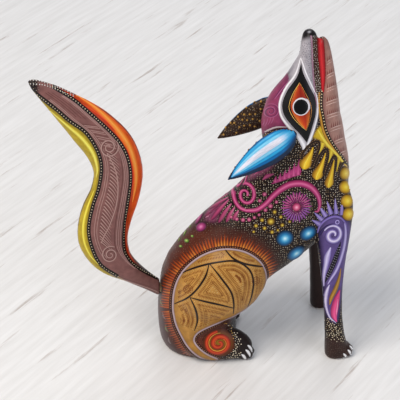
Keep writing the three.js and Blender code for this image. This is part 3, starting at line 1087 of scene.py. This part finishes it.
# The haunch: a tan shield cut by dark lines into cells of ochre dots, edged in lilac and beads,
# with a fringe of flames outside it
haunchPaint = {
    "lilac": ["#7a6058", "#b8a2a8", "#8a7476"],
    "beadRow": {"out": 1.1, "pitch": 0.9, "size": 0.24},
    "flames": {"out": 1.7, "pitch": 0.95, "long": 2.6, "longer": 2.2, "stray": 0.7},
    "flameEnds": [["#48160c", "#a8481a", "#48160c"], ["#2a120c", "#54200f", "#2a120c"]],
    "rearFlames": ("#c8702c", "#b5581e", "#d9822e", "#a84a1a"),
    "frontFlames": ("#d9822e", "#e8953c", "#c8702c"),
    "fineLine": ["#8a5a22", "#7a4a18", "#8a5a22"],
    "hatch": ["#7a4414", "#6e3a0e", "#7a4414"],
    "vein": ["#2a150a", "#120905", "#2a150a"],
    "spiral": ["#6a1408", "#a42c14", "#cc4a22", "#a42c14", "#6a1408"],
}
coatOn("haunch_paint", "carved_body")
shieldLine = smoothLine(cartouche + [cartouche[0]], 0.5)


def offsetLine(line, out):
    # the same line moved to its left, which is outside for a line that runs clockwise
    moved = []
    for a, b, c in zip(line, line[1:], line[2:]):
        ahead = (Vector(c) - Vector(a)).normalized()
        moved.append((b[0] - ahead.y * out, b[1] + ahead.x * out))
    return moved


loop = shieldLine + shieldLine[1:9]
stroke("haunch_paint", [(*p, 0.85) for p in offsetLine(loop, 0.2)[::4]],
       [haunchPaint["lilac"]], height=0.1)
beadRow = haunchPaint["beadRow"]
beadedEdge = offsetLine(loop, beadRow["out"])
stroke("haunch_paint", [(*p, 1) for p in beadedEdge[::4]], [["#2a0f0a", "#3a140e", "#2a0f0a"]], height=0.12)
beadLine("haunch_paint", beadedEdge[:-8:3], beadRow["pitch"], beadRow["size"], ["#7a3a1e", "#c88a50"])
flames = haunchPaint["flames"]
flameRoots = offsetLine(shieldLine + shieldLine[1:3], flames["out"])
gone = 0.0
for a, b in zip(flameRoots, flameRoots[1:]):
    gone += stepBetween(a, b)
    if gone < flames["pitch"]:
        continue
    gone = 0
    ahead = (Vector(b) - Vector(a)).normalized()
    out = Vector((-ahead.y, ahead.x))
    # none under the thigh, at the belly or round the ankle
    underThigh = out.y <= -0.35 and a[0] >= -1
    atBelly = a[0] > 26 and a[1] < 18
    atAnkle = a[0] > -4 and a[1] < 6
    if underThigh or atBelly or atAnkle:
        continue
    warm = min(max((a[1] - 4) / 16, 0), 1)
    long = flames["long"] + flames["longer"] * warm + random.uniform(-flames["stray"], flames["stray"])
    bend = ahead * random.uniform(0.1, 0.6)
    points = []
    for share, wide in ((0, 1.15), (0.35, 1), (0.7, 0.6), (1, 0.12)):
        spot = Vector(a) + out * long * share + bend * share * share
        points.append((spot.x, spot.y, wide))
    bright = random.choice(haunchPaint["rearFlames"] if a[0] < 6 else haunchPaint["frontFlames"])
    hot = ["#54180c", bright, "#54180c"] if warm > 0.3 else ["#4a2418", "#94563a", "#4a2418"]
    stroke("haunch_paint", points, [hot, *haunchPaint["flameEnds"]], across=2, height=0.1, step=0.9)

veins = [
    [(-8.6, 30.4), (-2, 33), (6, 34.6), (14, 34.6), (19.4, 31), (21.4, 26), (21, 20), (19.6, 14.2)],
    [(9.6, 40.6), (13, 36), (17.6, 33.4), (22.6, 32), (27, 31.2)],
    [(3.2, 34), (1.4, 29), (-2.4, 23.6), (-6.4, 20), (-11, 17.6)],
    [(3.6, 34), (8, 27.6), (11.8, 21.6), (13, 16.6), (13.2, 11.8)],
    [(-5, 20.4), (1, 18.4), (7, 16.6), (13, 14.6)],
    [(-5, 20.4), (-2.8, 15), (-1.8, 10), (-3, 5.4)],
]
veinLines = [smoothLine(vein, 0.6) for vein in veins]
shieldMargin = 0.9  # mm that the rows keep from the shield's edge
runGap = 1.3  # mm between two points of a row that parts it in two


def insideShield(points):
    spots = np.array([p[:2] for p in points])
    return edgeDistance(spots[:, 0], spots[:, 1], cartouche, True) > shieldMargin


def inOwnCell(p, out, own):
    # true while the vein that a row echoes is still the nearest one
    for number, line in enumerate(veinLines):
        if number != own and min(stepBetween(p, q) for q in line) < abs(out) * 0.96:
            return False
    return True


def runsOf(row):
    # a row parted where it leaves its cell, less the stubs
    runs = [[]]
    for p in row:
        if runs[-1] and stepBetween(runs[-1][-1], p) > runGap:
            runs.append([])
        runs[-1].append(p)
    return [run for run in runs if len(run) >= 4]


def layRow(run, kind):
    if kind == "line":
        stroke(
            "haunch_paint", [(*p, 0.26) for p in run[::2]], [haunchPaint["fineLine"]], across=2,
            height=0.07,
        )
        return
    if kind == "dots":
        beadLine("haunch_paint", run, 0.85, 0.22, ["#7a4a1c", "#f0cc88"], flat=0.4)
        return
    for p, q in zip(run, run[1:]):
        ahead = (Vector(q) - Vector(p)).normalized() * 0.62
        tick = [
            (p[0] + ahead.y, p[1] - ahead.x, 0.12), (p[0], p[1], 0.46),
            (p[0] - ahead.y, p[1] + ahead.x, 0.12),
        ]
        stroke("haunch_paint", tick, [haunchPaint["hatch"]], across=2, height=0.06)


# rows that echo each vein on both sides: dots, fine lines and short rust-brown hatching
rows = [
    (0.95, "dots"), (1.9, "hatch"), (3, "line"), (3.7, "hatch"), (4.7, "dots"), (5.5, "hatch"),
    (6.6, "line"),
]
for number, line in enumerate(veinLines):
    for way in (-1, 1):
        for out, kind in rows:
            moved = offsetLine(line, out * way)
            row = [p for p, ok in zip(moved, insideShield(moved)) if ok and inOwnCell(p, out, number)]
            for run in runsOf(row):
                layRow(run, kind)
for centre in ((-5.6, 24), (22.6, 25.6)):
    for ring in (1.7, 1.1, 0.5):
        scroll(
            "haunch_paint", centre, (ring, ring), 1, 0, [0.3], [haunchPaint["hatch"]], across=2,
            height=0.09,
        )
for vein in veins:
    widths = [0.35] + [0.8] * (len(vein) - 2) + [0.35]
    stroke("haunch_paint", [(*p, w) for p, w in zip(vein, widths)], [haunchPaint["vein"]], height=0.12)

# the lower leg of the haunch: its lilac edge curls round a red and gold spiral at the ankle
ankle = (7.4, -1)
disc(
    "haunch_paint", ankle, (7.6, 6.8), ["#8a6414", "#7a5210", "#6a3a10", "#3a0f0a"], height=0.06, around=28,
    rings=6,
)
scroll(
    "haunch_paint", ankle, (5.9, 0.4), 2, 95, [1.5, 2.5, 2.2, 1.2], [haunchPaint["spiral"]], squash=0.9,
    height=0.24,
)
scroll("haunch_paint", ankle, (5.1, 0.6), 1.7, 80, [0.2, 0.5, 0.4, 0.2],
       [["#c8831c", "#e8b048", "#c8831c"]], squash=0.9, height=0.27)
clawWhite = ["#8c8688", "#ffffff", "#c8c4c6"]
footDots = [
    (10.4, 8), (13.4, 7.4), (16.4, 2.4), (18, -3), (18, -8), (11, -9), (13, -5.6), (14.6, -1), (13.2, 3.4),
]
scatter("haunch_paint", footDots, 1, 0.3, ["#b09a7a", "#fff4dc"], chance=0.75)
goldDots = [(8, 9), (12.5, 7.4), (14.5, 4), (15.6, -1), (14.2, -1.4), (12, 4.4)]
scatter("haunch_paint", goldDots, 1.1, 0.27, ["#a8702a", "#f2c46a"], chance=0.7)
for toe, x in enumerate((21.6, 20.6, 18.8)):
    h = -4.4 - 1.9 * toe
    stroke(
        "haunch_paint",
        [(x - 1.6, h + 1.4, 0.4), (x - 0.6, h + 0.5, 1.3), (x + 0.3, h - 1, 1.1), (x + 0.5, h - 2, 0.3)],
        [clawWhite], height=0.2,
    )
# faint leaves of green and mauve on the rump, behind the flames
for step in range(7):
    h = 33 - 5.6 * step
    x = -15.4 - 0.2 * step + 0.12 * step * step
    stroke("haunch_paint", [(x, h, 0.2), (x - 0.9, h + 1.2, 0.9), (x - 1.2, h + 3.2, 0.2)],
           [["#4a4436", "#6e6e46" if step % 2 else "#7a6468", "#4a4436"]], across=2, height=0.07)
finishCoat("haunch_paint", strokePaint)

# The foreleg: a lavender dome with spikes, a spiral in it, and a comet that runs down the shin
forelegPaint = {
    "lavender": ["#40336c", "#8474b4", "#dcd4ec", "#7c6cae", "#3a2d5e"],
    "groove": ["#1e1638", "#33265e", "#1e1638"],
    "spike": [["#40336c", "#9484c4", "#40336c"], ["#5a4a90", "#a898d4", "#5a4a90"]],
    "magenta": [["#7a1c48", "#e0407e", "#c83a74"], ["#8c2050", "#f0609a", "#d04480"]],
    "gold": ["#5a3c14", "#b98a3a", "#7a561e"],
}
coatOn("foreleg_paint", "carved_body")
# each spike as its tip and its foot on the dome
spikes = [
    ((45.9, 49.6), (49.6, 47.4)), ((46.9, 52.6), (50.4, 49.2)), ((49, 55.2), (51.8, 50.6)),
    ((52.2, 57), (53.8, 51.4)), ((55.6, 57.8), (56, 51.4)), ((58.8, 56.8), (58.2, 50.8)),
    ((61.4, 54), (60, 49.4)),
]
for (x, h), (footX, footH) in spikes:
    middle = ((x + footX) / 2 - 0.1, (h + footH) / 2 + 0.2)
    stroke(
        "foreleg_paint", [(footX, footH, 2.2), (*middle, 1.3), (x, h, 0.15)], forelegPaint["spike"],
        height=0.16,
    )
stroke("foreleg_paint", [(48.9, 44, 0.5), (49.6, 46.8, 1), (51.8, 49.2, 1.1), (55, 50.3, 1.1), (58, 49.4, 1),
                         (60, 47, 0.9), (60.8, 44, 0.4)], [["#2c2150", "#8472b8", "#5a4890"]], height=0.2)
scroll("foreleg_paint", (54.6, 42.6), (4.9, 1.2), -1.25, 175, [1, 1.6, 1.4, 0.9], [forelegPaint["groove"]],
       height=0.12)
scroll(
    "foreleg_paint", (54.8, 42.8), (4, 0.7), -1.5, 150, [0.9, 2.7, 2.5, 1.3], [forelegPaint["lavender"]],
    height=0.24, squash=1.05,
)
beadLine("foreleg_paint", [(55.2, 43.4), (54.7, 42.4), (54.2, 41.6)], 0.6, 0.22, ["#2c2150", "#16102a"])
stroke(
    "foreleg_paint", spiralPoints((56.4, 48), (0.75, 0.75), 1, 0, [0.5]),
    [["#4a3c80", "#c4b4f0", "#4a3c80"]], across=2, height=0.24, step=0.4,
)
# two pale lavender strokes down the shin, painted highlights on the rounded leg
stroke(
    "foreleg_paint",
    [(53.9, 37.6, 0.6), (52.8, 34.2, 2.4), (52.3, 30.4, 2), (51.8, 26, 1.3), (52, 21, 0.4)],
    [["#54448c", "#cfc6ea", "#6a58a4"]], height=0.14,
)
stroke(
    "foreleg_paint",
    [
        (59.5, 48.1, 0.5), (60.2, 43.4, 1.3), (59.8, 38.2, 1.6), (58.4, 32.5, 1.5), (56.6, 27.8, 1.4),
        (54.4, 24, 1), (53.3, 21.8, 0.3),
    ],
    [["#4a3c80", "#c4b8e4", "#8472b8"]], height=0.18,
)
stroke(
    "foreleg_paint",
    [(58.1, 39.6, 0.2), (56.8, 35, 1.9), (54.9, 29.6, 2.1), (53.2, 25.4, 1.5), (52.2, 22.6, 0.3)],
    [["#140f1c", "#0b0810", "#140f1c"]], height=0.12,
)
for shift in (-0.42, 0.42):
    beadLine(
        "foreleg_paint",
        [
            (57.6 + shift * 0.6, 37.4), (56.6 + shift, 34.6), (54.8 + shift, 29.6),
            (52.8 + shift * 0.7, 24.4),
        ],
        0.95, 0.2, ["#8c7cb8", "#ece4fa"],
    )
beadLine("foreleg_paint", [(49.3, 38), (49.6, 32), (50, 26), (50.5, 20), (51.2, 13), (52, 8)], 0.9, 0.2,
         ["#4a3c80", "#7a6ab0"])
stroke(
    "foreleg_paint",
    [
        (54, 21.6, 0.4), (53.3, 19.4, 1.4), (52.9, 15.8, 1.5), (53.3, 11.7, 1), (54.8, 7.2, 0.8),
        (57.4, 4.6, 0.3),
    ],
    [["#54448c", "#e0d8f2", "#6a58a0"]], height=0.2,
)
stroke(
    "foreleg_paint",
    [(58.6, 28.3, 0.4), (58, 24.2, 1.4), (56.8, 20, 2), (55, 15.8, 1.7), (54.5, 12.8, 0.4)],
    [forelegPaint["gold"]], height=0.18,
)
stroke(
    "foreleg_paint",
    [(58.6, 19, 0.5), (57.4, 15.2, 2.6), (56.6, 10.8, 3.2), (56.6, 7.5, 2.4), (57.7, 5, 0.5)],
    forelegPaint["magenta"], height=0.2,
)
stroke(
    "foreleg_paint", [(58, 16.6, 0.2), (57.6, 12, 0.8), (57.4, 7.6, 0.2)],
    [["#f088b4", "#ffc4dc", "#f088b4"]], across=2, height=0.26,
)
ankleDots = [(53.6, 9), (57.6, 4), (61.6, 0), (63, -4), (56, -4), (54, 2)]
scatter("foreleg_paint", ankleDots, 0.95, 0.26, ["#a89878", "#f4e6c8"], chance=0.8)
for toe, x in enumerate((66, 64.8, 62.8)):
    h = -8.2 - 1.5 * toe
    stroke(
        "foreleg_paint",
        [(x - 1.5, h + 1.5, 0.4), (x - 0.7, h + 0.6, 1.2), (x + 0.2, h - 0.8, 1), (x + 0.3, h - 1.6, 0.3)],
        [clawWhite], height=0.18,
    )
finishCoat("foreleg_paint", strokePaint)


# The tail: an olive band and a flame band with a mauve one between, black beaded lines where
# they meet, and scrolls, rules and hatching in two tones on the mauve
tailPaint = {
    "beadBlack": ["#1c1210", "#0b0808", "#1c1210"],
    "mauveLight": ["#8f6a64", "#b4928a", "#8f6a64"],
    "mauveDark": ["#704844", "#5e3835", "#704844"],
    "flame": ["#e0561c", "#f07a24", "#f8a848", "#f07a24", "#e0561c"],
    "beadPitch": 1.02,
    "beadSize": 0.3,
    "hatches": 58,
}
coatOn("tail_paint", "tail")
for line in (tailOuter, tailInner):
    stroke("tail_paint", [(*p, 1.5) for p in line], [tailPaint["beadBlack"]], height=0.14)
    beadLine("tail_paint", line, tailPaint["beadPitch"], tailPaint["beadSize"], ["#b0906a", "#f4e6c4"])
stroke(
    "tail_paint",
    [
        (-58.6, 100.4, 0.3), (-52, 94, 1), (-46.4, 88.6, 1.5), (-42.4, 82.6, 1.5), (-40.9, 76.6, 0.9),
        (-41.4, 73, 0.2),
    ],
    [["#b8a024", "#f6ee6a", "#c8b02c"]], height=0.12,
)
stroke(
    "tail_paint",
    [
        (-42.4, 68, 0.2), (-45.6, 61, 0.9), (-47.6, 54, 1.1), (-47.6, 47, 1), (-45.4, 41, 0.7),
        (-42, 36.6, 0.2),
    ],
    [["#b8a024", "#f0e458", "#c8b02c"]], height=0.12,
)
stroke(
    "tail_paint",
    [
        (-48, 106, 0.2), (-40, 100, 1.8), (-33, 92.6, 3), (-28, 85, 3.2), (-25.6, 77, 2.8), (-25.4, 70, 2),
        (-27, 62, 0.3),
    ],
    [tailPaint["flame"]], across=6, height=0.12,
)
stroke(
    "tail_paint",
    [
        (-46.4, 102.6, 0.2), (-38.4, 96.6, 0.9), (-31.4, 89, 1.1), (-27.8, 81.6, 1.1), (-26.4, 73, 0.9),
        (-27.6, 65, 0.2),
    ],
    [["#a81c10", "#d83a16", "#e85a1c"]], height=0.1,
)
stroke(
    "tail_paint",
    [(-28.6, 60, 0.2), (-29.8, 53, 0.9), (-30, 46, 0.9), (-28.8, 40, 0.6), (-26.4, 35.6, 0.2)],
    [["#8a1d12", "#d8481c", "#8a1d12"]], height=0.1,
)
stroke(
    "tail_paint",
    [(-50.6, 62, 0.2), (-52.6, 54, 1.5), (-52, 46, 1.8), (-48.4, 39.4, 1.4), (-43.4, 34.4, 0.3)],
    [["#7a5a1c", "#9a6a22", "#6a4414"]], height=0.08,
)
for row in (0, 1.4):
    beadLine(
        "tail_paint",
        [(-65.5, 112.4 - row), (-60, 111.5 - row), (-54, 109 - row), (-48.4, 105.6 - row * 0.4)], 1, 0.28,
        ["#a8a29e", "#f8f4ee"],
    )
tailOuterLine = smoothLine(tailOuter[:-1], 0.5)
tailInnerLine = smoothLine(tailInner, 0.5)


def onMauve(share, along):
    # a place on the mauve band: share across it from its outer to its inner edge, along it from tip
    a = tailOuterLine[round(along * (len(tailOuterLine) - 1))]
    b = tailInnerLine[round(along * (len(tailInnerLine) - 1))]
    return a[0] + (b[0] - a[0]) * share, a[1] + (b[1] - a[1]) * share


for share in (0.15, 0.22, 0.78, 0.84, 0.9):
    stroke(
        "tail_paint", [(*onMauve(share, 0.06 + 0.88 * i / 24), 0.28) for i in range(25)],
        [tailPaint["mauveLight"]], across=2, height=0.06,
    )
for share, start, end in ((0.5, 0.02, 0.2), (0.38, 0.02, 0.19), (0.62, 0.03, 0.21)):
    stroke(
        "tail_paint", [(*onMauve(share, start + (end - start) * i / 8), 0.36) for i in range(9)],
        [tailPaint["mauveDark"]], across=2, height=0.06,
    )
for centre, radius, turns, start in (((-36, 84.6), 4.1, -2.1, 40), ((-37, 40.6), 3.7, 2.1, 60)):
    scroll(
        "tail_paint", centre, (radius, 0.4), turns, start, [0.5, 0.7, 0.5], [tailPaint["mauveLight"]],
        across=2, height=0.1,
    )
    scroll(
        "tail_paint", centre, (radius - 0.55, 0.3), turns, start, [0.4, 0.5, 0.3], [tailPaint["mauveDark"]],
        across=2, height=0.08,
    )
# a fan of hatching down the middle, then rules across it near the tip
for i in range(tailPaint["hatches"]):
    along = 0.4 + 0.44 * i / (tailPaint["hatches"] - 1)
    foot, mid, tip = onMauve(0.3, along), onMauve(0.47, along + 0.012), onMauve(0.62, along + 0.03)
    stroke(
        "tail_paint", [(*foot, 0.5), (*mid, 0.36), (*tip, 0.1)],
        [tailPaint["mauveDark"] if i % 2 else tailPaint["mauveLight"]], across=2, height=0.07,
    )
for i in range(13):
    along = 0.24 + 0.012 * i
    stroke("tail_paint", [(*onMauve(0.28, along), 0.3), (*onMauve(0.72, along + 0.01), 0.3)],
           [tailPaint["mauveLight"] if i % 3 else tailPaint["mauveDark"]], across=2, height=0.06)
stroke(
    "tail_paint",
    [(*onMauve(0.3 + 0.35 * math.sin(math.pi * i / 16), 0.42 + 0.42 * i / 16), 0.5) for i in range(17)],
    [tailPaint["mauveLight"]], across=2, height=0.09,
)
for shift in range(6):
    stroke(
        "tail_paint",
        [
            (-38 + 0.5 * shift, 33 - 0.9 * shift, 0.2), (-30 + 0.4 * shift, 29.2 - 0.9 * shift, 0.36),
            (-21, 25.6 - 0.9 * shift, 0.34), (-14, 22 - 0.9 * shift, 0.2),
        ],
        [tailPaint["mauveLight"] if shift % 2 else tailPaint["mauveDark"]], across=2, height=0.07,
    )
stroke(
    "tail_paint", [(*onMauve(0.72, 0.44 + 0.4 * i / 16), 0.42) for i in range(17)],
    [tailPaint["mauveDark"]], across=2, height=0.08,
)
finishCoat("tail_paint", strokePaint)

# The ears: leaf in leaf of blue on the outer face, gold dots on brown on the inner one
# Each row of blues runs across the leaf; core is half a row, from the edge to the middle.
earPaint = {
    "end": ["#0a1a30", "#0c3f6c", "#0f62a0", "#1470ae", "#0f62a0", "#0c3f6c", "#0a1a30"],
    "soft": ["#0a1a30", "#0c4474", "#106aa8", "#2392ca", "#48b0de", "#48b0de", "#2392ca", "#106aa8",
             "#0c4474", "#0a1a30"],
    "core": ["#0a1a30", "#0a2c50", "#0f629e", "#1068a4", "#0d5690", "#2a9cd2", "#2ea2d6", "#1f8cc6",
             "#7ccaec", "#86d0ee", "#6cc0e6", "#dce0f0", "#e6e6f2", "#ece9f4"],
    "gold": ["#4a2c10", "#9a6c2c", "#c89a4c"],
    "dots": ((2.4, 0.6, 0.9), (1.9, 0.24, 0.6)),  # spacing, radius and chance
}
blueRows = [earPaint["soft"]] + [
    earPaint["core"] + earPaint["core"][::-1],
] * 6 + [earPaint["soft"], earPaint["end"]]
earLeaf = [(12.2, 69.3, 0.6), (14.6, 71.4, 4), (18, 74, 7.4), (21, 76.2, 9.6), (24.5, 78.5, 11.2),
           (28, 80.6, 11.8), (31, 82.3, 11.4), (34, 84, 9.8), (36.6, 85.4, 7), (38.4, 86.2, 3.4),
           (39.2, 86.4, 0.8)]
innerFace = [(6, 78), (38, 78), (38, 108), (6, 108)]
for node, side, other in (("right_ear", right, left), ("left_ear", left, right)):
    name = node + "_paint"
    coatOn(name, node)
    stroke(name, earLeaf, blueRows, across=54, height=0.08, step=0.9, sides=(side,), node=node)
    for spacing, radius, chance in earPaint["dots"]:
        scatter(name, innerFace, spacing, radius, earPaint["gold"], chance=chance, sides=(other,), node=node)
    finishCoat(name, strokePaint)


# The stage: a floor of worn white boards, a big soft window to the upper left, a fill from the
# front and a light from behind. The camera's lens is in mm and its height and turn are in degrees.
stageSizes = {
    "floor": 3.0, "boardTurn": 48, "grain": 2.6, "wear": 5,
    "distance": 0.7, "lens": 151.2, "sensor": 36, "height": 34, "turn": -7,
}
bpy.ops.mesh.primitive_plane_add(size=stageSizes["floor"], location=(0, 0, -0.0002))
floor = bpy.context.object
floor.name = "floor"
# White paint rubbed into old boards: matt, with long grain and brown wood where it has worn off.
boards, tree, surface = newMaterial("wornPaintedBoards", {"Roughness": 0.6, "IOR": 1.45})
place = addNode(tree, "ShaderNodeTexCoord").outputs["Object"]
turned = addNode(
    tree, "ShaderNodeMapping", {"vector_type": "TEXTURE"},
    {"Vector": place, "Rotation": (0, 0, math.radians(stageSizes["boardTurn"])), "Scale": (14, 1, 1)},
)
grain = addNode(
    tree, "ShaderNodeTexNoise", None,
    {"Vector": turned.outputs[0], "Scale": perMm(stageSizes["grain"]), "Detail": 5.0},
)
worn = addNode(
    tree, "ShaderNodeTexNoise", None,
    {"Vector": turned.outputs[0], "Scale": perMm(stageSizes["wear"]), "Detail": 8.0, "Roughness": 0.65},
)
tone = addNode(
    tree, "ShaderNodeMix", {"data_type": "RGBA"},
    {"Factor": grain.outputs["Fac"], 6: (*linear("#d6d5d4"), 1), 7: (*linear("#f4f4f5"), 1)},
)
bare = addNode(
    tree, "ShaderNodeMapRange", None,
    {"Value": worn.outputs["Fac"], "From Min": 0.6, "From Max": 0.68, "To Max": 0.5},
)
shown = addNode(
    tree, "ShaderNodeMix", {"data_type": "RGBA"},
    {"Factor": bare.outputs["Result"], 6: tone.outputs[2], 7: (*linear("#8c7464"), 1)},
)
tree.links.new(shown.outputs[2], surface.inputs["Base Color"])
floor.data.materials.append(boards)


def areaLight(name, place, aim, size, power, colour):
    light = bpy.data.lights.new(name, "AREA")
    light.shape = "DISK"
    light.size = size
    light.energy = power
    light.color = linear(colour)
    lamp = bpy.data.objects.new(name, light)
    bpy.context.scene.collection.objects.link(lamp)
    lamp.location = place
    lamp.rotation_euler = (Vector(aim) - Vector(place)).to_track_quat("-Z", "Y").to_euler()


areaLight("window", (-0.55, -0.35, 0.95), (0, 0, 0.06), 0.7, 9.6, "#fff8ee")
areaLight("fill", (0.7, -0.9, 0.6), (0, 0, 0.07), 0.9, 3.2, "#eef3ff")
areaLight("back", (0.3, 0.9, 0.8), (0, 0, 0.07), 0.7, 2.8, "#ffffff")
world = bpy.data.worlds.new("softRoom")
world.use_nodes = True
world.node_tree.nodes["Background"].inputs["Color"].default_value = (0.9, 0.93, 1, 1)
world.node_tree.nodes["Background"].inputs["Strength"].default_value = 0.4
bpy.context.scene.world = world
bpy.context.scene.view_settings.view_transform = "Standard"

target = Vector((0.0015, 0, 0.0735))
rise, swing = math.radians(stageSizes["height"]), math.radians(stageSizes["turn"])
towards = Vector((math.sin(swing) * math.cos(rise), -math.cos(swing) * math.cos(rise), math.sin(rise)))
camera = bpy.data.cameras.new("camera")
camera.lens = stageSizes["lens"]
camera.sensor_width = stageSizes["sensor"]
eye = bpy.data.objects.new("camera", camera)
bpy.context.scene.collection.objects.link(eye)
eye.location = target + towards * stageSizes["distance"]
eye.rotation_euler = (-towards).to_track_quat("-Z", "Y").to_euler()
bpy.context.scene.camera = eye
